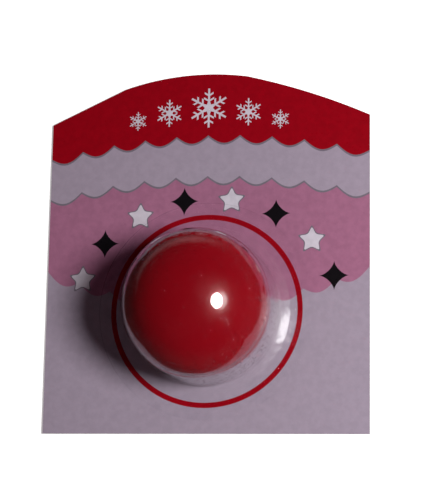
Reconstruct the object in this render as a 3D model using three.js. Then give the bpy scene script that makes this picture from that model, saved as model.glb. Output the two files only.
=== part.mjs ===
// A light-up ball nose under a clear formed blister, sealed on an arched backing card that lies flat.
// Millimetres. +Z points out of the card's front, +Y to its arched top and +X to its right.
// The origin is the middle of the card's outline, on its back face.

import * as THREE from 'three';

// Card: straight sides and foot, an arched top with a round crest between two sloping shoulders
const CARD_WIDTH = 120;
const CARD_HEIGHT = 134;
const CARD_THICKNESS = 0.8;
const SHOULDER_HEIGHT = 116.35;
const CREST_X = -1.7;
const CREST_RADIUS = 100;
const LEFT_BREAK_X = -32;
const RIGHT_BREAK_X = 14.2;
const RIGHT_SHOULDER_BULGE = 1.2;

// Nose: a hollow ball, a little flatter in front than a sphere, cut open at the back for the wearer's nose
const NOSE_AXIS_HEIGHT = 44.9;
const NOSE_RADIUS = 25.8;
const NOSE_FRONT_DEPTH = 23.5;
const NOSE_WALL = 2;
const NOSE_RIM_RADIUS = 23.3;
const EQUATOR_ABOVE_CARD = 18.5;
const SEAT_GAP = 0.3;

// Light unit: a sealed pod behind the ball's front wall
const LIGHT_RADIUS = 12;
const LIGHT_SIDE_HEIGHT = 7.5;

// Blister: a dome over the ball, a steep wall, a tight bend, a hollow apron and a flat seal flange.
// The ball lies loose in it, a little to one side of its axis. Slopes are in degrees from level.
const BLISTER_AXIS_X = 0.3;
const BLISTER_AXIS_HEIGHT = 44.75;
const BLISTER_WALL = 0.3;
const SEAL_GAP = 0.1;
const DOME_RADIUS = 26.9;
const DOME_DEPTH = 26.5;
const DOME_BASE_ABOVE_CARD = 17;
const FLANGE_RADIUS = 39.9;
const FOOT_RADIUS = 33.9;
const WALL_SLOPE = 87;
const APRON_TOP_SLOPE = 29;
const APRON_FOOT_SLOPE = 19;
const BEND_RADIUS = 1.2;
const FOOT_EASE_RADIUS = 0.6;

// Facets
const TURN_SEGMENTS = 48;
const FRONT_STEPS = 11;
const BACK_STEPS = 7;
const LIGHT_FACE_STEPS = 7;
const BEND_STEPS = 3;
const APRON_STEPS = 3;
const FOOT_EASE_STEPS = 2;
const CREST_SEGMENTS = 16;
const AXIS_TOLERANCE = 1e-6;

// Worked-out places
const NOSE_AXIS = new THREE.Vector2(0, NOSE_AXIS_HEIGHT - CARD_HEIGHT / 2);
const BLISTER_AXIS = new THREE.Vector2(BLISTER_AXIS_X, BLISTER_AXIS_HEIGHT - CARD_HEIGHT / 2);
const EQUATOR_Z = CARD_THICKNESS + EQUATOR_ABOVE_CARD;
const NOSE_BACK_Z = CARD_THICKNESS + SEAT_GAP;
const DOME_BASE_Z = CARD_THICKNESS + DOME_BASE_ABOVE_CARD;
const FLANGE_TOP_Z = CARD_THICKNESS + SEAL_GAP + BLISTER_WALL;

const paleBoard = new THREE.MeshStandardMaterial({ color: 0x96899a, roughness: 0.45, metalness: 0 });
const redPlastic = new THREE.MeshStandardMaterial({ color: 0x9c0f1b, roughness: 0.3, metalness: 0 });
const whitePlastic = new THREE.MeshStandardMaterial({ color: 0xe6e2da, roughness: 0.5, metalness: 0 });
const clearPlastic = new THREE.MeshStandardMaterial({
  color: 0xe8eef0,
  roughness: 0.05,
  metalness: 0,
  transparent: true,
  opacity: 0.25,
});

// Points on an upright ellipse about a height, from one angle to another, in radius and height.
function ellipseArc(height, radius, depth, fromAngle, toAngle, steps) {
  const points = [];
  for (let i = 0; i <= steps; i += 1) {
    const angle = THREE.MathUtils.lerp(fromAngle, toAngle, i / steps);
    points.push(new THREE.Vector2(radius * Math.cos(angle), height + depth * Math.sin(angle)));
  }
  return points;
}

// Turns a profile about an upright axis. Points on the axis are set to an exact zero radius.
function turned(name, profile, axis, material) {
  const points = profile.map((point) => new THREE.Vector2(point.x < AXIS_TOLERANCE ? 0 : point.x, point.y));
  const geometry = new THREE.LatheGeometry(points, TURN_SEGMENTS);
  geometry.rotateX(Math.PI / 2);
  const mesh = new THREE.Mesh(geometry, material);
  mesh.name = name;
  mesh.position.set(axis.x, axis.y, 0);
  return mesh;
}

function buildCard() {
  const half = CARD_WIDTH / 2;
  const foot = -CARD_HEIGHT / 2;
  const shoulder = foot + SHOULDER_HEIGHT;
  const crestCentre = new THREE.Vector2(CREST_X, CARD_HEIGHT / 2 - CREST_RADIUS);
  const crestAngle = (x) => Math.acos((x - CREST_X) / CREST_RADIUS);
  const rightAngle = crestAngle(RIGHT_BREAK_X);
  const leftAngle = crestAngle(LEFT_BREAK_X);

  // The right shoulder bows outwards: its control point stands off the middle of the straight line.
  const rightBreak = new THREE.Vector2(RIGHT_BREAK_X, crestCentre.y + CREST_RADIUS * Math.sin(rightAngle));
  const slope = rightBreak.clone().sub(new THREE.Vector2(half, shoulder));
  const outward = new THREE.Vector2(slope.y, -slope.x).normalize();
  const bow = rightBreak.clone().addScaledVector(slope, -0.5);
  bow.addScaledVector(outward, 2 * RIGHT_SHOULDER_BULGE);

  const outline = new THREE.Shape();
  outline.moveTo(-half, foot);
  outline.lineTo(half, foot);
  outline.lineTo(half, shoulder);
  outline.quadraticCurveTo(bow.x, bow.y, rightBreak.x, rightBreak.y);
  outline.absarc(crestCentre.x, crestCentre.y, CREST_RADIUS, rightAngle, leftAngle, false);
  outline.lineTo(-half, shoulder);
  outline.closePath();

  const geometry = new THREE.ExtrudeGeometry(outline, {
    depth: CARD_THICKNESS,
    bevelEnabled: false,
    curveSegments: CREST_SEGMENTS,
  });
  const card = new THREE.Mesh(geometry, paleBoard);
  card.name = 'card';
  return card;
}

// The back half is a longer ellipse, so that the ball is still wide where it is cut open.
function noseSurface(inset) {
  const radius = NOSE_RADIUS - inset;
  const drop = EQUATOR_Z - NOSE_BACK_Z;
  const rimAngle = Math.acos((NOSE_RIM_RADIUS - inset) / radius);
  const backDepth = drop / Math.sin(rimAngle);
  const front = ellipseArc(EQUATOR_Z, radius, NOSE_FRONT_DEPTH - inset, Math.PI / 2, 0, FRONT_STEPS);
  const back = ellipseArc(EQUATOR_Z, radius, backDepth, 0, -rimAngle, BACK_STEPS);
  return front.concat(back.slice(1));
}

function buildNoseShell() {
  const inner = noseSurface(NOSE_WALL);
  const outer = noseSurface(0).reverse();
  return turned('nose_shell', inner.concat(outer), NOSE_AXIS, redPlastic);
}

function buildLightUnit() {
  const inset = NOSE_WALL + SEAT_GAP;
  const radius = NOSE_RADIUS - inset;
  const sideAngle = Math.acos(LIGHT_RADIUS / radius);
  const depth = NOSE_FRONT_DEPTH - inset;
  const face = ellipseArc(EQUATOR_Z, radius, depth, sideAngle, Math.PI / 2, LIGHT_FACE_STEPS);
  const backZ = face[0].y - LIGHT_SIDE_HEIGHT;
  const back = [new THREE.Vector2(0, backZ), new THREE.Vector2(LIGHT_RADIUS, backZ)];
  return turned('light_unit', back.concat(face), NOSE_AXIS, whitePlastic);
}

// The direction that a face of this slope looks in, in radius and height.
function facing(slope) {
  const angle = THREE.MathUtils.degToRad(slope);
  return new THREE.Vector2(Math.sin(angle), Math.cos(angle));
}

// The hollow arcs between the blister's wall and its flange, from the flange up.
// The apron's radius is the one that lets the wall touch the dome.
function footArcs() {
  const wall = facing(WALL_SLOPE);
  const rise = (low, high) => facing(low).sub(facing(high)).dot(wall);
  const domeReach = Math.hypot(DOME_RADIUS * wall.x, DOME_DEPTH * wall.y) + DOME_BASE_Z * wall.y;
  const footReach = FOOT_RADIUS * wall.x + FLANGE_TOP_Z * wall.y;
  const easeRise = FOOT_EASE_RADIUS * rise(0, APRON_FOOT_SLOPE);
  const bendRise = BEND_RADIUS * rise(APRON_TOP_SLOPE, WALL_SLOPE);
  const apronRadius = (domeReach - footReach - easeRise - bendRise) / rise(APRON_FOOT_SLOPE, APRON_TOP_SLOPE);
  return [
    { low: 0, high: APRON_FOOT_SLOPE, radius: FOOT_EASE_RADIUS, steps: FOOT_EASE_STEPS },
    { low: APRON_FOOT_SLOPE, high: APRON_TOP_SLOPE, radius: apronRadius, steps: APRON_STEPS },
    { low: APRON_TOP_SLOPE, high: WALL_SLOPE, radius: BEND_RADIUS, steps: BEND_STEPS },
  ];
}

// One face of the blister from the flange's edge up to the dome's pole, set in from the outer face.
function blisterSurface(inset) {
  const foot = new THREE.Vector2(FOOT_RADIUS, FLANGE_TOP_Z);
  const points = [new THREE.Vector2(FLANGE_RADIUS, FLANGE_TOP_Z - inset), foot.clone().setY(foot.y - inset)];
  for (const arc of footArcs()) {
    const centre = foot.clone().addScaledVector(facing(arc.low), arc.radius);
    for (let i = 1; i <= arc.steps; i += 1) {
      const slope = THREE.MathUtils.lerp(arc.low, arc.high, i / arc.steps);
      points.push(centre.clone().addScaledVector(facing(slope), -arc.radius - inset));
    }
    foot.copy(centre).addScaledVector(facing(arc.high), -arc.radius);
  }
  const radius = DOME_RADIUS - inset;
  const depth = DOME_DEPTH - inset;
  const wall = facing(WALL_SLOPE);
  const touchAngle = Math.atan2(depth * wall.y, radius * wall.x);
  return points.concat(ellipseArc(DOME_BASE_Z, radius, depth, touchAngle, Math.PI / 2, FRONT_STEPS));
}

function buildBlister() {
  const inner = blisterSurface(BLISTER_WALL).reverse();
  const outer = blisterSurface(0);
  return turned('blister', inner.concat(outer), BLISTER_AXIS, clearPlastic);
}

const cardedNose = new THREE.Group();
cardedNose.add(buildCard(), buildNoseShell(), buildLightUnit(), buildBlister());

export default cardedNose;
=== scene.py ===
"""Looks of a light-up ball nose under a clear formed blister, sealed on an arched printed card.

Metres, in the CAD model's frame: +Z out of the card's front, +Y to its arched top and +X to its right.
"""

import math
from typing import NamedTuple

import bpy
import numpy as np
from mathutils import Matrix, Vector
from mathutils.geometry import tessellate_polygon


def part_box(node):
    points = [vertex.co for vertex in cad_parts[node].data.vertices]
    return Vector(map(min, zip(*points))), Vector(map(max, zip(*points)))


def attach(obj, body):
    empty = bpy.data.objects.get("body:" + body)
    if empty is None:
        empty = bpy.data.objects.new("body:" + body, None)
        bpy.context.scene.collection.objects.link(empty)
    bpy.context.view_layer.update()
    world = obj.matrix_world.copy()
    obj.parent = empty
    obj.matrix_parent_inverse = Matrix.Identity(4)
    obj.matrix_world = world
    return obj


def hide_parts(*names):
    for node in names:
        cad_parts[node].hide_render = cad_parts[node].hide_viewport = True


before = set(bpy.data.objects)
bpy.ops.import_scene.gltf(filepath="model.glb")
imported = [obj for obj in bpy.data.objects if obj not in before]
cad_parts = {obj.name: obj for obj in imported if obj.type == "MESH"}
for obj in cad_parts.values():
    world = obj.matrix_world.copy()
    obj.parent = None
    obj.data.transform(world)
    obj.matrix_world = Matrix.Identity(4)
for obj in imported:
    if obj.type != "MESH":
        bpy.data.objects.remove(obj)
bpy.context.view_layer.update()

MM = 0.001


# Kinds of values

class Waves(NamedTuple):
    """Seeded waves in the clear sheet.

    Each wave repeats a drawn number of times in a full turn, from the first of in_a_turn to one below the
    second. Slant is the most that its phase shifts along the profile, in radians a metre.
    """

    seed: int
    in_a_turn: tuple
    slant: float
    height: float


class Grain(NamedTuple):
    """Noise of so many cells a metre, whose values from low to high are used."""

    scale: float
    low: float
    high: float
    detail: float = 3.0


class Sheet(NamedTuple):
    """A finish of the clear sheet. Haze is a range of roughness, and bloom a soft coat over the gloss."""

    ior: float
    tint: tuple
    haze: tuple
    bloom: float
    bloom_roughness: float


# Boxes of the CAD nodes
card_low, card_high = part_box("card")
shell_low, shell_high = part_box("nose_shell")
blister_low, blister_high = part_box("blister")

# Sizes of the nose and blister that their boxes don't give
NOSE_WALL = 2.0 * MM
NOSE_RIM_RADIUS = 23.3 * MM
EQUATOR_ABOVE_CARD = 18.5 * MM
BLISTER_WALL = 0.3 * MM
DOME_RADIUS = 26.9 * MM
DOME_BASE_ABOVE_CARD = 17.0 * MM
FOOT_RADIUS = 33.9 * MM
BEND_RADIUS = 1.2 * MM
FOOT_EASE_RADIUS = 0.6 * MM

# Slopes of the blister's wall and apron, from level
WALL_SLOPE = math.radians(87)
APRON_TOP_SLOPE = math.radians(29)
APRON_FOOT_SLOPE = math.radians(19)

# Sizes worked out from the boxes
CARD_FACE_Z = card_high.z
NOSE_AXIS = (shell_low + shell_high) / 2
BLISTER_AXIS = (blister_low + blister_high) / 2
EQUATOR_Z = CARD_FACE_Z + EQUATOR_ABOVE_CARD
NOSE_RADIUS = (shell_high.x - shell_low.x) / 2
NOSE_FRONT_DEPTH = shell_high.z - EQUATOR_Z
NOSE_BACK_DROP = EQUATOR_Z - shell_low.z
DOME_BASE_Z = CARD_FACE_Z + DOME_BASE_ABOVE_CARD
DOME_DEPTH = blister_high.z - DOME_BASE_Z
FLANGE_RADIUS = (blister_high.x - blister_low.x) / 2
FLANGE_TOP_Z = blister_low.z + BLISTER_WALL

# A low bead pressed up round the blister's foot
BEAD_RADIUS = 34.45 * MM
BEAD_HALF_WIDTH = 0.5 * MM
BEAD_HEIGHT = 0.22 * MM

# Waves left by forming: over the dome, over the apron, and as crinkles on one side of the foot
WAVE_COUNT = 14
DOME_WAVES = Waves(seed=11, in_a_turn=(2, 9), slant=260.0, height=0.03 * MM)
APRON_WAVES = Waves(seed=5, in_a_turn=(20, 60), slant=1600.0, height=0.028 * MM)
CRINKLE_WAVES = Waves(seed=3, in_a_turn=(70, 115), slant=3000.0, height=0.06 * MM)

# Where the waves are: the dome's grow from none at the flange to full at this height above it, and the
# others lie between two radii and fade over a margin
DOME_WAVES_FULL = 4.0 * MM
APRON_WAVE_RADII = (28.5 * MM, 35.5 * MM)
CRINKLE_RADII = (31.0 * MM, 34.8 * MM)
WAVE_MARGIN = 1.5 * MM
CRINKLE_AZIMUTH = math.radians(21)
CRINKLE_HALF_WIDTH = math.radians(36)

# Facets of the turned pieces, the angle from a pole to the ring next to it, and the angle from which an
# edge is sharp
NOSE_TURNS = 160
NOSE_FRONT_STEPS = 48
NOSE_BACK_STEPS = 28
BLISTER_TURNS = 480
DOME_STEPS = 38
WALL_STEPS = 8
BEND_STEPS = 8
APRON_STEPS = 18
EASE_STEPS = 5
BEAD_STEPS = 12
FLANGE_STEPS = 8
POLE_GAP = math.radians(1.5)
SHARP_ANGLE = math.radians(40)

# The apron's steps, from its foot up, that have the sealed sheet's finish
SEALED_APRON_STEPS = 8

# One layer of ink, and how much two measures of the card's corners may differ and still count as one
INK_LIFT = 0.012 * MM
CORNER_TOLERANCE = 0.01 * MM

# From here to the flakes, the print's sizes are in millimetres: x from the card's middle, y up from its foot
HALF_WIDTH_MM = (card_high.x - card_low.x) / 2 / MM
BLISTER_X_MM = BLISTER_AXIS.x / MM
BLISTER_Y_MM = (BLISTER_AXIS.y - card_low.y) / MM

# Scalloped edges of the printed bands: height at the card's sides, and rise to the middle
HEADER_FOOT_EDGE = (103.0, 7.5)
PINK_TOP_EDGE = (87.5, 7.5)
PINK_FOOT_EDGE = (60.0, -12.0)
SCALLOP_COUNT = 10
SCALLOP_DEPTH = 3.0
SCALLOP_STEPS = 10
KEYLINE_WIDTH = 0.7

# Ring round the blister's foot
RING_RADIUS = 34.6
RING_WIDTH = 1.9
RING_STEPS = 96

# Stars and glints take turns on an arc over the blister, from left to right. A star's waist and border
# are shares of its size.
MOTIF_COUNT = 8
MOTIF_ARC_RADII = (49.0, 41.5)
MOTIF_ARC = (math.radians(163), math.radians(17))
STAR_POINTS = 5
STAR_SIZE = 4.9
STAR_WAIST = 0.5
STAR_TRIM = 1.0
STAR_TRIM_STEPS = 6
STAR_BORDER = 1.16
GLINT_SIZE = 5.4
GLINT_STEPS = 48

# Header flakes: x, y and size
HEADER_FLAKES = (
    (0.0, 121.0, 7.5),
    (-15.0, 119.5, 5.2),
    (15.0, 119.0, 5.2),
    (-27.0, 116.8, 3.6),
    (27.0, 115.8, 3.6),
)

# A flake's arm, in shares of its length: where each twig leaves the arm, and the twig's length
FLAKE_ARMS = 6
FLAKE_TWIGS = ((0.34, 0.24), (0.62, 0.2))
FLAKE_TWIG_SLANT = math.radians(60)
FLAKE_TWIG_WIDTH = 0.1
FLAKE_STEM = 0.05
FLAKE_HUB = 0.2

# Camera, solved from the card's four corners in a 427 by 500 frame
CAMERA_PLACE = Vector((124.93, -116.82, 600.04)) * MM
CAMERA_AIM = Vector((2.7, 0.1, 0.8)) * MM
CAMERA_ROLL = math.radians(1.02)
CAMERA_LENS_MM = 122.46
CAMERA_CLIP_START = 10.0 * MM
SENSOR_MM = 36.0
CARD_UP = Vector((0, 1, 0))

# Key light, from the highlight on the dome and the ball's shadow
KEY_DIRECTION = Vector((0.645, -0.045, 0.735))
KEY_DISTANCE = 0.55
KEY_WIDTH = 0.155
KEY_HEIGHT = 0.2
KEY_ROLL = math.radians(10)
KEY_WATTS = 4.9

# Soft warm fill that only lifts the shadows, placed from the nose, and the faint light all round
FILL_OFFSET = Vector((-0.25, -0.55, 0.5))
FILL_SIZE = 0.5
FILL_WATTS = 0.8
FILL_COLOUR = (1.0, 0.7, 0.78)
AMBIENT = 0.008

# Colours, as linear reflectance
WHITE = (1.0, 1.0, 1.0)
PALE_BOARD = (0.244, 0.2, 0.25)
BOARD_CORE = (0.16, 0.13, 0.12)
RED_INK = (0.2, 0.0008, 0.005)
PINK_INK = (0.244, 0.095, 0.158)
GREY_INK = (0.12, 0.1, 0.125)
WHITE_INK = (0.42, 0.38, 0.43)
BLACK_INK = (0.004, 0.003, 0.004)
NOSE_RED = (0.175, 0.0012, 0.0045)
NOSE_DEEP_RED = (0.155, 0.001, 0.004)
POD_WHITE = (0.6, 0.58, 0.52)
CLEAR_TINT = (0.99, 0.99, 0.99)
SEALED_TINT = (0.96, 0.96, 0.97)

# In the finishes below, shades are the darkest and palest share of a colour, a bump is its strength and
# depth, and all noise has this roughness
NOISE_ROUGHNESS = 0.55

# Varnished print, on the board and the inks
PRINT_MOTTLE = Grain(scale=420.0, low=0.35, high=0.65)
BOARD_SHADES = (0.96, 1.04)
INK_SHADES = (0.94, 1.06)
PRINT_GLOSS = Grain(scale=900.0, low=0.3, high=0.7)
PRINT_ROUGHNESS = (0.27, 0.33)
PRINT_FIBRE_SCALE = 1800.0
PRINT_FIBRE_BUMP = (0.08, 0.05 * MM)

# Bare board, which gives way to the coated face where a face looks this far up
CORE_FIBRE = Grain(scale=2600.0, low=0.3, high=0.7, detail=5.0)
CORE_SHADES = (0.6, 1.3)
COATED_FACE_UP = (0.4, 0.6)

# Red vinyl
NOSE_CLOUD = Grain(scale=70.0, low=0.2, high=0.8)
NOSE_GLOSS = Grain(scale=260.0, low=0.3, high=0.7)
NOSE_ROUGHNESS = (0.22, 0.28)
NOSE_GRAIN_SCALE = 700.0
NOSE_GRAIN_BUMP = (0.02, 0.1 * MM)

# White moulded plastic of the light pod
POD_GRAIN = Grain(scale=500.0, low=0.35, high=0.65)
POD_SHADES = (0.9, 1.0)
POD_GLOSS = Grain(scale=900.0, low=0.3, high=0.7)
POD_ROUGHNESS = (0.45, 0.6)

# Clear sheet: free on the dome and wall, dulled on the apron's upper part, and sealed from the flange to
# the apron's lower part, where it has almost no gloss
FREE_SHEET = Sheet(ior=1.5, tint=CLEAR_TINT, haze=(0.04, 0.07), bloom=0.045, bloom_roughness=0.16)
DULLED_SHEET = Sheet(ior=1.135, tint=CLEAR_TINT, haze=(0.11, 0.2), bloom=0.12, bloom_roughness=0.4)
SEALED_SHEET = Sheet(ior=1.07, tint=SEALED_TINT, haze=(0.04, 0.08), bloom=0.0, bloom_roughness=0.2)

# The sheet's blotches of tint, clouds of haze and small pits
SHEET_BLOTCH = Grain(scale=110.0, low=0.5, high=0.62)
SHEET_CLOUD = Grain(scale=300.0, low=0.4, high=0.7)
SHEET_PITS = Grain(scale=1100.0, low=0.655, high=0.715, detail=1.0)
PIT_BUMP = (1.0, 0.06 * MM)

# A milky patch low on the wall, a painted sheen: it is put only where the key lamp lights the wall, to stand
# in for the lamp's blurred highlight there, though the lamps light what it scatters. The share of light that
# it scatters, its middle, and how far it reaches from there
PAINTED_SHEEN_SHARE = 0.055
PAINTED_SHEEN_PLACE = Vector((27.7, -26.0, 3.0)) * MM
PAINTED_SHEEN_REACH = 16.0 * MM

# Lamplight that the sheet lets through: met square on, met edge on, and how late it turns to the second
LIGHT_THROUGH = (0.99, 0.99, 0.99)
LIGHT_THROUGH_EDGE = (0.05, 0.05, 0.05)
EDGE_POWER = 5.0

# The sheet's finishes by number, in the blister's list of materials. The dome's is the first.
# The wall and bend have the dome's finish with a painted sheen
PAINTED_SHEEN_WALL, DULLED, SEALED = 1, 2, 3

# Floor, just under the card
FLOOR_SIZE = 4.0
FLOOR_DROP = 0.05 * MM
FLOOR_WHITE = (0.93, 0.93, 0.93)
FLOOR_GLOW = 0.35

# The floor as it is mirrored, painted only for mirrors: dark as painted shade, paler behind the card's top,
# over a stretch of Y, as a painted reflection of something lit there, but not to the right of it, over a
# stretch of X
FLOOR_MIRRORED = (0.012, 0.012, 0.012)
FLOOR_MIRRORED_BEHIND = (0.27, 0.235, 0.245)
FLOOR_BEHIND_Y = (0.05, 0.13)
FLOOR_RIGHT_X = (-0.01, 0.07)

# The Mix node's inputs and outputs share names, so its colour ones go by number
MIX_FIRST_COLOUR, MIX_SECOND_COLOUR = 6, 7
MIX_COLOUR_RESULT = 2


# Nodes

def new_material(name):
    material = bpy.data.materials.new(name)
    material.use_nodes = True
    material.node_tree.nodes.clear()
    return material


def node(material, kind, **inputs):
    """A new node. An input is named in small letters, with _ for each space."""
    made = material.node_tree.nodes.new(kind)
    sockets = {socket.name.lower().replace(" ", "_"): socket for socket in made.inputs}
    for name, value in inputs.items():
        sockets[name].default_value = value
    return made


def link(material, source, target):
    material.node_tree.links.new(source, target)


def output(material, surface):
    end = node(material, "ShaderNodeOutputMaterial")
    link(material, surface, end.inputs["Surface"])


def own_place(material):
    """Each point's place in its piece, which is its place in the part's frame."""
    return node(material, "ShaderNodeTexCoord").outputs["Object"]


def split(material, vector):
    """The X, Y and Z of a place or direction."""
    made = node(material, "ShaderNodeSeparateXYZ")
    link(material, vector, made.inputs["Vector"])
    return made.outputs


def noise(material, scale, detail=3.0):
    made = node(material, "ShaderNodeTexNoise", scale=scale, detail=detail, roughness=NOISE_ROUGHNESS)
    link(material, own_place(material), made.inputs["Vector"])
    return made.outputs["Fac"]


def remap(material, value, source, target=(0.0, 1.0)):
    """A value moved from one range to another, and held at its ends."""
    made = node(material, "ShaderNodeMapRange")
    for label, number in zip(("From Min", "From Max", "To Min", "To Max"), (*source, *target)):
        made.inputs[label].default_value = number
    link(material, value, made.inputs["Value"])
    return made.outputs["Result"]


def grain(material, row, target=(0.0, 1.0)):
    """Noise whose used values are spread over a range."""
    return remap(material, noise(material, row.scale, row.detail), (row.low, row.high), target)


def mix_colour(material, factor, first, second):
    """A colour between two, each a plain colour or a socket."""
    made = node(material, "ShaderNodeMix")
    made.data_type = "RGBA"
    link(material, factor, made.inputs["Factor"])
    for number, colour in ((MIX_FIRST_COLOUR, first), (MIX_SECOND_COLOUR, second)):
        if isinstance(colour, tuple):
            made.inputs[number].default_value = (*colour, 1.0)
        else:
            link(material, colour, made.inputs[number])
    return made.outputs[MIX_COLOUR_RESULT]


def mix_shader(material, factor, first, second):
    """A surface between two, which go by number because their inputs share a name."""
    made = node(material, "ShaderNodeMixShader")
    link(material, factor, made.inputs["Fac"])
    link(material, first, made.inputs[1])
    link(material, second, made.inputs[2])
    return made.outputs["Shader"]


def shaded(material, colour, row, shades):
    """A colour that varies with a grain between two shares of itself."""
    darkest, palest = (tuple(channel * share for channel in colour) for share in shades)
    return mix_colour(material, grain(material, row), darkest, palest)


def bump(material, height, strength, distance):
    made = node(material, "ShaderNodeBump", strength=strength, distance=distance)
    link(material, height, made.inputs["Height"])
    return made.outputs["Normal"]


def grazing(material, power):
    """0 where a surface is met square on, rising to 1 where it is met edge on."""
    weight = node(material, "ShaderNodeLayerWeight", blend=0.5)
    rise = node(material, "ShaderNodeMath")
    rise.operation = "POWER"
    link(material, weight.outputs["Facing"], rise.inputs[0])
    rise.inputs[1].default_value = power
    return rise.outputs["Value"]


def distance_from(material, place):
    """How far each point of a piece is from a place in the part's frame."""
    gap = node(material, "ShaderNodeVectorMath")
    gap.operation = "DISTANCE"
    gap.inputs[1].default_value = place
    link(material, own_place(material), gap.inputs[0])
    return gap.outputs["Value"]


# Materials

def print_shader(material):
    """A varnished finish over the board's fibre, still without its colour."""
    shader = node(material, "ShaderNodeBsdfPrincipled", ior=1.45, specular_ior_level=0.15)
    fibre = bump(material, noise(material, PRINT_FIBRE_SCALE), *PRINT_FIBRE_BUMP)
    link(material, grain(material, PRINT_GLOSS, PRINT_ROUGHNESS), shader.inputs["Roughness"])
    link(material, fibre, shader.inputs["Normal"])
    return shader


def ink_material(name, colour):
    material = new_material(name)
    shader = print_shader(material)
    link(material, shaded(material, colour, PRINT_MOTTLE, INK_SHADES), shader.inputs["Base Color"])
    output(material, shader.outputs["BSDF"])
    return material


def board_material():
    """Pale coated face, with the bare grey core where the card is cut and on its back."""
    material = new_material("coated_board")
    shader = print_shader(material)
    face = shaded(material, PALE_BOARD, PRINT_MOTTLE, BOARD_SHADES)
    core = shaded(material, BOARD_CORE, CORE_FIBRE, CORE_SHADES)
    direction = split(material, node(material, "ShaderNodeNewGeometry").outputs["Normal"])
    front = remap(material, direction["Z"], COATED_FACE_UP)
    link(material, mix_colour(material, front, core, face), shader.inputs["Base Color"])
    output(material, shader.outputs["BSDF"])
    return material


def nose_material():
    """Glossy red vinyl with a faint moulded grain."""
    material = new_material("red_vinyl")
    shader = node(
        material,
        "ShaderNodeBsdfPrincipled",
        ior=1.5,
        specular_ior_level=0.045,
        diffuse_roughness=0.5,
    )
    red = mix_colour(material, grain(material, NOSE_CLOUD), NOSE_DEEP_RED, NOSE_RED)
    moulding = bump(material, noise(material, NOSE_GRAIN_SCALE), *NOSE_GRAIN_BUMP)
    link(material, red, shader.inputs["Base Color"])
    link(material, grain(material, NOSE_GLOSS, NOSE_ROUGHNESS), shader.inputs["Roughness"])
    link(material, moulding, shader.inputs["Normal"])
    output(material, shader.outputs["BSDF"])
    return material


def pod_material():
    material = new_material("moulded_white")
    shader = node(material, "ShaderNodeBsdfPrincipled", ior=1.45)
    link(material, shaded(material, POD_WHITE, POD_GRAIN, POD_SHADES), shader.inputs["Base Color"])
    link(material, grain(material, POD_GLOSS, POD_ROUGHNESS), shader.inputs["Roughness"])
    output(material, shader.outputs["BSDF"])
    return material


def sheet_shader(material, sheet):
    """Clear plastic, tinted in blotches, hazy in clouds and marked with small pits."""
    shader = node(
        material,
        "ShaderNodeBsdfPrincipled",
        ior=sheet.ior,
        transmission_weight=1.0,
        coat_weight=sheet.bloom,
        coat_roughness=sheet.bloom_roughness,
    )
    tint = mix_colour(material, grain(material, SHEET_BLOTCH), WHITE, sheet.tint)
    pits = grain(material, SHEET_PITS, (1.0, 0.0))
    link(material, tint, shader.inputs["Base Color"])
    link(material, grain(material, SHEET_CLOUD, sheet.haze), shader.inputs["Roughness"])
    link(material, bump(material, pits, *PIT_BUMP), shader.inputs["Normal"])
    return shader


def add_painted_sheen(material, shader):
    """Makes the sheet milky round a place, and clear again away from it: a painted sheen where the key lamp
    lights the wall.
    """
    gap = distance_from(material, PAINTED_SHEEN_PLACE)
    clear_share = remap(material, gap, (0.0, PAINTED_SHEEN_REACH), (1.0 - PAINTED_SHEEN_SHARE, 1.0))
    clear_share.node.interpolation_type = "SMOOTHSTEP"
    link(material, clear_share, shader.inputs["Transmission Weight"])


def clear_material(name, sheet, painted_sheen=False):
    """Clear formed sheet. It lets lamplight and bounced light through, less where it is met edge on."""
    material = new_material(name)
    shader = sheet_shader(material, sheet)
    if painted_sheen:
        add_painted_sheen(material, shader)
    through = node(material, "ShaderNodeBsdfTransparent")
    share = mix_colour(material, grazing(material, EDGE_POWER), LIGHT_THROUGH, LIGHT_THROUGH_EDGE)
    link(material, share, through.inputs["Color"])
    path = node(material, "ShaderNodeLightPath")
    surface = shader.outputs["BSDF"]
    for ray in ("Is Shadow Ray", "Is Diffuse Ray"):
        surface = mix_shader(material, path.outputs[ray], surface, through.outputs["BSDF"])
    output(material, surface)
    return material


def floor_material():
    """White to look at. Where something shiny mirrors it, it is painted dim, as painted shade, and less so
    behind the card's top, as a painted reflection.
    """
    material = new_material("pale_floor")
    white = node(
        material,
        "ShaderNodeBsdfPrincipled",
        base_color=(*FLOOR_WHITE, 1.0),
        roughness=0.9,
        specular_ior_level=0.0,
        emission_color=(*WHITE, 1.0),
        emission_strength=FLOOR_GLOW,
    )
    dim = node(material, "ShaderNodeBsdfDiffuse")
    place = split(material, own_place(material))
    # Painted shade and a painted reflection, seen only where something shiny mirrors the floor
    behind = remap(material, place["Y"], FLOOR_BEHIND_Y)
    to_right = remap(material, place["X"], FLOOR_RIGHT_X)
    shade = mix_colour(material, behind, FLOOR_MIRRORED, FLOOR_MIRRORED_BEHIND)
    shade = mix_colour(material, to_right, shade, FLOOR_MIRRORED)
    link(material, shade, dim.inputs["Color"])
    path = node(material, "ShaderNodeLightPath")
    mirrored = path.outputs["Glossy Depth"]
    output(material, mix_shader(material, mirrored, white.outputs["BSDF"], dim.outputs["BSDF"]))
    return material


# Meshes

def add_mesh(name, vertices, faces, materials, smooth=True):
    mesh = bpy.data.meshes.new(name)
    mesh.from_pydata(vertices, [], faces)
    mesh.polygons.foreach_set("use_smooth", [smooth] * len(mesh.polygons))
    for material in materials:
        mesh.materials.append(material)
    piece = bpy.data.objects.new(name, mesh)
    bpy.context.scene.collection.objects.link(piece)
    return piece


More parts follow.
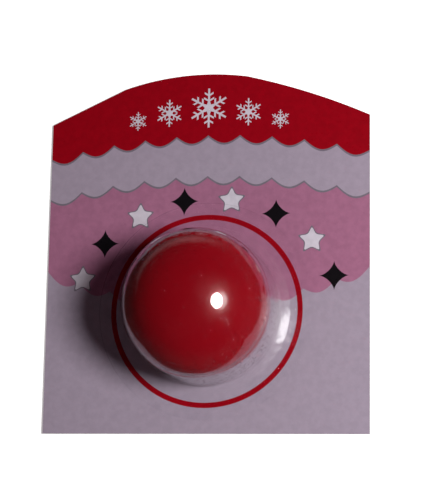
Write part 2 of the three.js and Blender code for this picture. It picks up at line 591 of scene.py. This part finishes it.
def turned(name, rings, materials, bands=()):
    """A closed turned piece. rings[ring, turn] are points, from its inner pole out to its outer pole.

    A band is a slice of rings and the number of the material for the faces that start at them.
    """
    ring_count, turn_count, _ = rings.shape
    vertices = rings.reshape(-1, 3).tolist()
    first_pole, last_pole = len(vertices), len(vertices) + 1
    vertices += [rings[0].mean(axis=0).tolist(), rings[-1].mean(axis=0).tolist()]
    last_ring = (ring_count - 1) * turn_count
    faces = []
    for turn in range(turn_count):
        following = (turn + 1) % turn_count
        faces.append((first_pole, following, turn))
        faces.append((last_ring + turn, last_ring + following, last_pole))
        for ring in range(ring_count - 1):
            near, far = ring * turn_count, (ring + 1) * turn_count
            faces.append((near + turn, near + following, far + following, far + turn))
    piece = add_mesh(name, vertices, faces, materials)

    # Each turn has its two pole faces first, and then one face for each ring but the last
    numbers = np.zeros((turn_count, ring_count + 1), dtype=np.int32)
    for band, number in bands:
        numbers[:, 2:][:, band] = number
    piece.data.polygons.foreach_set("material_index", numbers.ravel())
    piece.data.set_sharp_from_angle(angle=SHARP_ANGLE)
    return piece


def ellipse_arc(middle_z, radius, depth, start, stop, steps):
    """Radius and height on an upright ellipse about this height."""
    angle = np.linspace(start, stop, steps + 1)
    return np.stack([radius * np.cos(angle), middle_z + depth * np.sin(angle)], axis=1)


def full_turn(count):
    return np.linspace(0, 2 * math.pi, count, endpoint=False)


def spun(profile, azimuth, axis):
    """Points round an upright axis. profile[ring, turn] is a radius and height, or has one turn for all."""
    radius, height = profile[..., 0], profile[..., 1]
    x = axis.x + radius * np.cos(azimuth)
    y = axis.y + radius * np.sin(azimuth)
    return np.stack([x, y, np.broadcast_to(height, x.shape)], axis=2)


# Nose

def nose_surface(inset):
    """One face of the ball from its front to its open rim, set in from the outer face."""
    radius = NOSE_RADIUS - inset
    rim_angle = math.acos((NOSE_RIM_RADIUS - inset) / radius)
    back_depth = NOSE_BACK_DROP / math.sin(rim_angle)
    front_depth = NOSE_FRONT_DEPTH - inset
    front = ellipse_arc(EQUATOR_Z, radius, front_depth, math.pi / 2 - POLE_GAP, 0.0, NOSE_FRONT_STEPS)
    back = ellipse_arc(EQUATOR_Z, radius, back_depth, 0.0, -rim_angle, NOSE_BACK_STEPS)
    return np.concatenate([front, back[1:]])


def build_nose():
    profile = np.concatenate([nose_surface(NOSE_WALL), nose_surface(0.0)[::-1]])
    rings = spun(profile[:, None, :], full_turn(NOSE_TURNS), NOSE_AXIS)
    nose = turned("nose_ball", rings, [nose_material()])
    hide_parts("nose_shell")
    return nose


# Blister

def facing(slope):
    """The direction that a face of this slope looks in, in radius and height."""
    return np.stack([np.sin(slope), np.cos(slope)], axis=-1)


def foot_arcs():
    """Hollow arcs from the flange up to the wall: low slope, high slope, radius and steps.

    The apron's radius is the one that lets the wall touch the dome.
    """
    wall = facing(WALL_SLOPE)
    ease_rise = FOOT_EASE_RADIUS * (facing(0.0) - facing(APRON_FOOT_SLOPE)) @ wall
    bend_rise = BEND_RADIUS * (facing(APRON_TOP_SLOPE) - facing(WALL_SLOPE)) @ wall
    apron_rise = (facing(APRON_FOOT_SLOPE) - facing(APRON_TOP_SLOPE)) @ wall
    dome_reach = math.hypot(DOME_RADIUS * wall[0], DOME_DEPTH * wall[1]) + DOME_BASE_Z * wall[1]
    foot_reach = np.array([FOOT_RADIUS, FLANGE_TOP_Z]) @ wall
    apron_radius = (dome_reach - foot_reach - ease_rise - bend_rise) / apron_rise
    return (
        (0.0, APRON_FOOT_SLOPE, FOOT_EASE_RADIUS, EASE_STEPS),
        (APRON_FOOT_SLOPE, APRON_TOP_SLOPE, apron_radius, APRON_STEPS),
        (APRON_TOP_SLOPE, WALL_SLOPE, BEND_RADIUS, BEND_STEPS),
    )


def blister_profile():
    """The outer face from the dome's pole to the flange's edge, with the way that each point faces."""
    bead_edge = BEAD_RADIUS + BEAD_HALF_WIDTH
    outside_bead = np.linspace(FLANGE_RADIUS, bead_edge, FLANGE_STEPS + 1)
    over_bead = np.linspace(bead_edge, FOOT_RADIUS, BEAD_STEPS + 1)
    flange = np.append(outside_bead, over_bead[1:])
    points = [np.stack([flange, np.full_like(flange, FLANGE_TOP_Z)], axis=1)]
    facings = [np.tile(facing(0.0), (len(flange), 1))]
    for low, high, radius, steps in foot_arcs():
        slope = np.linspace(low, high, steps + 1)[1:]
        centre = points[-1][-1] + radius * facing(low)
        points.append(centre - radius * facing(slope))
        facings.append(facing(slope))

    wall = facing(WALL_SLOPE)
    touch = math.atan2(DOME_DEPTH * wall[1], DOME_RADIUS * wall[0])
    dome = ellipse_arc(DOME_BASE_Z, DOME_RADIUS, DOME_DEPTH, touch, math.pi / 2 - POLE_GAP, DOME_STEPS)
    share = np.linspace(0, 1, WALL_STEPS + 1)[1:-1, None]
    points.append(points[-1][-1] * (1 - share) + dome[0] * share)
    facings.append(np.tile(wall, (WALL_STEPS - 1, 1)))
    upright = dome[:, 1] - DOME_BASE_Z
    dome_facing = np.stack([dome[:, 0] / DOME_RADIUS ** 2, upright / DOME_DEPTH ** 2], axis=1)
    points.append(dome)
    facings.append(dome_facing / np.linalg.norm(dome_facing, axis=1, keepdims=True))
    return np.concatenate(points)[::-1], np.concatenate(facings)[::-1]


def wave_relief(waves, along, azimuth):
    """The sum of a few waves over the way along the profile and the azimuth."""
    draw = np.random.default_rng(waves.seed)
    total = np.zeros((len(along), len(azimuth)))
    for _ in range(WAVE_COUNT):
        across = draw.integers(*waves.in_a_turn) * azimuth
        down = draw.uniform(-waves.slant, waves.slant) * along + draw.uniform(0, 2 * math.pi)
        total += np.sin(across[None, :] + down[:, None])
    return total * waves.height / math.sqrt(WAVE_COUNT)


def between(value, limits):
    """1 well between two limits, falling to 0 at each of them."""
    return np.clip(np.minimum(value - limits[0], limits[1] - value) / WAVE_MARGIN, 0, 1)


def blister_relief(points, azimuth):
    """How far the sheet's waves, crinkles and bead stand out from its profile."""
    radius, height = points[:, 0], points[:, 1] - FLANGE_TOP_Z
    along = np.concatenate([[0], np.cumsum(np.linalg.norm(np.diff(points, axis=0), axis=1))])
    on_dome = np.clip(height / DOME_WAVES_FULL, 0, 1)
    limit = math.cos(CRINKLE_HALF_WIDTH)
    closeness = np.clip((np.cos(azimuth - CRINKLE_AZIMUTH) - limit) / (1 - limit), 0, 1)
    crinkled = between(radius, CRINKLE_RADII)[:, None] * closeness[None, :]
    relief = on_dome[:, None] * wave_relief(DOME_WAVES, along, azimuth)
    relief += between(radius, APRON_WAVE_RADII)[:, None] * wave_relief(APRON_WAVES, along, azimuth)
    relief += crinkled * wave_relief(CRINKLE_WAVES, along, azimuth)
    across_bead = np.clip((radius - BEAD_RADIUS) / BEAD_HALF_WIDTH, -1, 1)
    relief += BEAD_HEIGHT * np.cos(across_bead * math.pi / 2)[:, None] ** 2
    return relief


def sheet_bands(edge):
    """Bands of rings on both faces of the sheet, with their material's number.

    The outer face starts at the ring numbered edge, on the flange's rim, and the inner face ends before it.
    """
    apron_foot = FLANGE_STEPS + BEAD_STEPS + EASE_STEPS
    sealed_top = apron_foot + SEALED_APRON_STEPS
    apron_top = apron_foot + APRON_STEPS
    wall_top = apron_top + BEND_STEPS + WALL_STEPS
    bands = [(slice(edge - 1 - sealed_top, edge + sealed_top), SEALED)]
    for start, stop, number in ((sealed_top, apron_top, DULLED), (apron_top, wall_top, PAINTED_SHEEN_WALL)):
        bands.append((slice(edge - 1 - stop, edge - 1 - start), number))
        bands.append((slice(edge + start, edge + stop), number))
    return bands


def build_blister():
    azimuth = full_turn(BLISTER_TURNS)
    points, facings = blister_profile()
    relief = blister_relief(points, azimuth)
    outer = points[:, None, :] + facings[:, None, :] * relief[..., None]
    inner = outer - facings[:, None, :] * BLISTER_WALL
    rings = spun(np.concatenate([inner, outer[::-1]]), azimuth, BLISTER_AXIS)
    materials = [
        clear_material("clear_sheet", FREE_SHEET),
        # The second is the dome's finish with the painted sheen, for the wall and bend
        clear_material("stretched_sheet", FREE_SHEET, painted_sheen=True),
        clear_material("dulled_sheet", DULLED_SHEET),
        clear_material("sealed_sheet", SEALED_SHEET),
    ]
    blister = turned("blister_shell", rings, materials, sheet_bands(len(points)))
    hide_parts("blister")
    return blister


# Print

def signed_area(loop):
    return sum(a[0] * b[1] - b[0] * a[1] for a, b in zip(loop, loop[1:] + loop[:1])) / 2


def plate_faces(loops):
    """Faces of a flat plate. Its lower points are numbered first, loop by loop, and then its upper ones."""
    flat = [point for loop in loops for point in loop]
    upper = len(flat)
    faces = []
    for triangle in tessellate_polygon([[Vector((x, y, 0)) for x, y in loop] for loop in loops]):
        corners = [flat[index] for index in triangle]
        upward = triangle if signed_area(corners) > 0 else triangle[::-1]
        faces.append(list(upward[::-1]))
        faces.append([upper + index for index in upward])
    start = 0
    for loop in loops:
        for index in range(len(loop)):
            here = start + index
            following = start + (index + 1) % len(loop)
            faces.append([here, following, upper + following, upper + here])
        start += len(loop)
    return faces


def ink_plate(name, shapes, material, layer):
    """Flat inlays on the card. Each shape is an outline, followed by any holes."""
    vertices, faces = [], []
    low = CARD_FACE_Z + (layer - 1) * INK_LIFT
    for shape in shapes:
        loops = []
        for index, loop in enumerate(shape):
            anticlockwise = signed_area(loop) > 0
            loops.append(loop if anticlockwise == (index == 0) else loop[::-1])
        base = len(vertices)
        for z in (low, low + INK_LIFT):
            vertices += [(x * MM, card_low.y + y * MM, z) for loop in loops for x, y in loop]
        faces += [[base + index for index in face] for face in plate_faces(loops)]
    plate = add_mesh(name, vertices, faces, [material], smooth=False)
    return plate


def circle(x, y, radius):
    angles = full_turn(RING_STEPS).tolist()
    return [(x + radius * math.cos(angle), y + radius * math.sin(angle)) for angle in angles]


def glint(x, y, size):
    """A four-pointed glint with hollow sides."""
    angles = full_turn(GLINT_STEPS).tolist()
    return [(x + size * math.cos(angle) ** 3, y + size * math.sin(angle) ** 3) for angle in angles]


def rounded(corners, trim, steps):
    """An outline with each corner eased by a curve that starts a trim length before it."""
    outline = []
    for before, corner, after in zip(corners[-1:] + corners[:-1], corners, corners[1:] + corners[:1]):
        middle = Vector(corner)
        start = middle + (Vector(before) - middle).normalized() * trim
        stop = middle + (Vector(after) - middle).normalized() * trim
        for step in range(steps + 1):
            share = step / steps
            point = start * (1 - share) ** 2 + middle * 2 * share * (1 - share) + stop * share ** 2
            outline.append((point.x, point.y))
    return outline


def star(x, y, size):
    """A star with eased corners, one point up."""
    corners = []
    for index in range(2 * STAR_POINTS):
        angle = math.pi / 2 + math.pi * index / STAR_POINTS
        radius = size * STAR_WAIST if index % 2 else size
        corners.append((x + radius * math.cos(angle), y + radius * math.sin(angle)))
    return rounded(corners, STAR_TRIM, STAR_TRIM_STEPS)


def snowflake(x, y, size):
    """A flake as one outline: half an arm, mirrored and turned."""
    valley_angle = math.pi / FLAKE_ARMS
    half = [(FLAKE_HUB * math.sin(valley_angle), FLAKE_HUB * math.cos(valley_angle))]
    for start, length in FLAKE_TWIGS:
        tip_across = FLAKE_STEM + length * math.sin(FLAKE_TWIG_SLANT)
        tip_along = start + length * math.cos(FLAKE_TWIG_SLANT)
        half.append((FLAKE_STEM, start))
        half.append((tip_across, tip_along))
        half.append((tip_across, tip_along + FLAKE_TWIG_WIDTH))
        half.append((FLAKE_STEM, start + FLAKE_TWIG_WIDTH))
    half.append((FLAKE_STEM, 1.0))
    arm = half + [(-across, along) for across, along in half[:0:-1]]
    outline = []
    for index in range(FLAKE_ARMS):
        turn = Matrix.Rotation(2 * valley_angle * index, 2)
        for across, along in arm:
            point = turn @ Vector((across, along))
            outline.append((x + size * point.x, y + size * point.y))
    return outline


def scallop_edge(height, arch_height, drop=0.0):
    """Points from left to right on an arched, scalloped line, at this height at the card's sides."""
    count = SCALLOP_COUNT * SCALLOP_STEPS
    edge = []
    for step in range(count + 1):
        share = step / count
        x = HALF_WIDTH_MM * (2 * share - 1)
        arch = arch_height * (1 - (x / HALF_WIDTH_MM) ** 2)
        scallop = SCALLOP_DEPTH * abs(math.sin(math.pi * SCALLOP_COUNT * share))
        edge.append((x, height + arch - scallop - drop))
    return edge


def top_outline():
    """The card's arched top from right to left, from the CAD card's own corners."""
    corners = [vertex.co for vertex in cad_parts["card"].data.vertices]
    side = [corner.y for corner in corners if card_high.x - corner.x < CORNER_TOLERANCE]
    found = {}
    for corner in corners:
        if corner.y > max(side) - CORNER_TOLERANCE:
            # To the micrometre, so that the corners of the front and the back fall together
            found[round(corner.x / MM, 3)] = (corner.y - card_low.y) / MM
    return [(x, found[x]) for x in sorted(found, reverse=True)]


def motif_places():
    places = []
    for index in range(MOTIF_COUNT):
        share = index / (MOTIF_COUNT - 1)
        angle = MOTIF_ARC[0] * (1 - share) + MOTIF_ARC[1] * share
        x = BLISTER_X_MM + MOTIF_ARC_RADII[0] * math.cos(angle)
        y = BLISTER_Y_MM + MOTIF_ARC_RADII[1] * math.sin(angle)
        places.append((x, y))
    return places


def build_print():
    red = ink_material("red_ink", RED_INK)
    grey = ink_material("grey_ink", GREY_INK)
    white = ink_material("white_ink", WHITE_INK)
    header = [top_outline() + scallop_edge(*HEADER_FOOT_EDGE)]
    pink = [scallop_edge(*PINK_TOP_EDGE) + scallop_edge(*PINK_FOOT_EDGE)[::-1]]
    keylines = []
    for edge in (HEADER_FOOT_EDGE, PINK_TOP_EDGE):
        keylines.append([scallop_edge(*edge) + scallop_edge(*edge, KEYLINE_WIDTH)[::-1]])
    ring_out = circle(BLISTER_X_MM, BLISTER_Y_MM, RING_RADIUS + RING_WIDTH / 2)
    ring_in = circle(BLISTER_X_MM, BLISTER_Y_MM, RING_RADIUS - RING_WIDTH / 2)
    places = motif_places()
    borders = [[star(*place, STAR_SIZE * STAR_BORDER), star(*place, STAR_SIZE)] for place in places[::2]]
    stars = [[star(*place, STAR_SIZE)] for place in places[::2]]
    glints = [[glint(*place, GLINT_SIZE)] for place in places[1::2]]
    flakes = [[snowflake(*row)] for row in HEADER_FLAKES]
    return [
        ink_plate("print_pink", [pink], ink_material("pink_ink", PINK_INK), layer=1),
        ink_plate("print_header", [header], red, layer=1),
        ink_plate("print_keylines", keylines + borders, grey, layer=2),
        ink_plate("print_ring", [[ring_out, ring_in]], red, layer=2),
        ink_plate("print_white", flakes + stars, white, layer=3),
        ink_plate("print_glints", glints, ink_material("black_ink", BLACK_INK), layer=2),
    ]


# Stage

def build_floor():
    half = FLOOR_SIZE / 2
    corners = [(x, y, -FLOOR_DROP) for x, y in ((-half, -half), (half, -half), (half, half), (-half, half))]
    floor = add_mesh("floor", corners, [(0, 1, 2, 3)], [floor_material()], smooth=False)


def aimed(place, aim, roll=0.0):
    """A matrix at place that looks at aim along its own -Z, rolled anticlockwise as it sees it."""
    forward = (aim - place).normalized()
    right = forward.cross(CARD_UP).normalized()
    upward = right.cross(forward)
    turned_right = right * math.cos(roll) + upward * math.sin(roll)
    turned_up = upward * math.cos(roll) - right * math.sin(roll)
    axes = Matrix((turned_right, turned_up, -forward)).transposed()
    return Matrix.Translation(place) @ axes.to_4x4()


def build_camera():
    camera = bpy.data.cameras.new("camera")
    camera.lens = CAMERA_LENS_MM
    camera.sensor_width = SENSOR_MM
    camera.clip_start = CAMERA_CLIP_START
    holder = bpy.data.objects.new("camera", camera)
    holder.matrix_world = aimed(CAMERA_PLACE, CAMERA_AIM, CAMERA_ROLL)
    bpy.context.scene.collection.objects.link(holder)
    bpy.context.scene.camera = holder


def area_light(name, place, aim, size, watts, roll=0.0):
    """A soft round lamp of this width and height, unseen by the camera itself."""
    light = bpy.data.lights.new(name, "AREA")
    light.shape = "ELLIPSE"
    light.size, light.size_y = size
    light.energy = watts
    holder = bpy.data.objects.new(name, light)
    holder.matrix_world = aimed(place, aim, roll)
    holder.visible_camera = False
    bpy.context.scene.collection.objects.link(holder)
    return holder


def build_lights():
    nose = Vector((NOSE_AXIS.x, NOSE_AXIS.y, EQUATOR_Z))
    key_place = nose + KEY_DIRECTION.normalized() * KEY_DISTANCE
    area_light("key", key_place, nose, (KEY_WIDTH, KEY_HEIGHT), KEY_WATTS, KEY_ROLL)
    fill = area_light("fill", nose + FILL_OFFSET, nose, (FILL_SIZE, FILL_SIZE), FILL_WATTS)
    fill.data.color = FILL_COLOUR
    fill.visible_glossy = False
    fill.visible_transmission = False

    world = bpy.data.worlds.new("studio")
    world.use_nodes = True
    background = world.node_tree.nodes["Background"]
    background.inputs["Color"].default_value = (AMBIENT, AMBIENT, AMBIENT, 1.0)
    bpy.context.scene.world = world


def dress_node(name, material):
    """Gives a CAD node that no piece replaces this material alone."""
    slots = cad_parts[name].data.materials
    slots.clear()
    slots.append(material)


bpy.context.scene.view_settings.view_transform = "Standard"
build_camera()
build_lights()
build_floor()

dress_node("card", board_material())
dress_node("light_unit", pod_material())
for piece in [build_nose(), build_blister(), *build_print()]:
    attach(piece, "root")
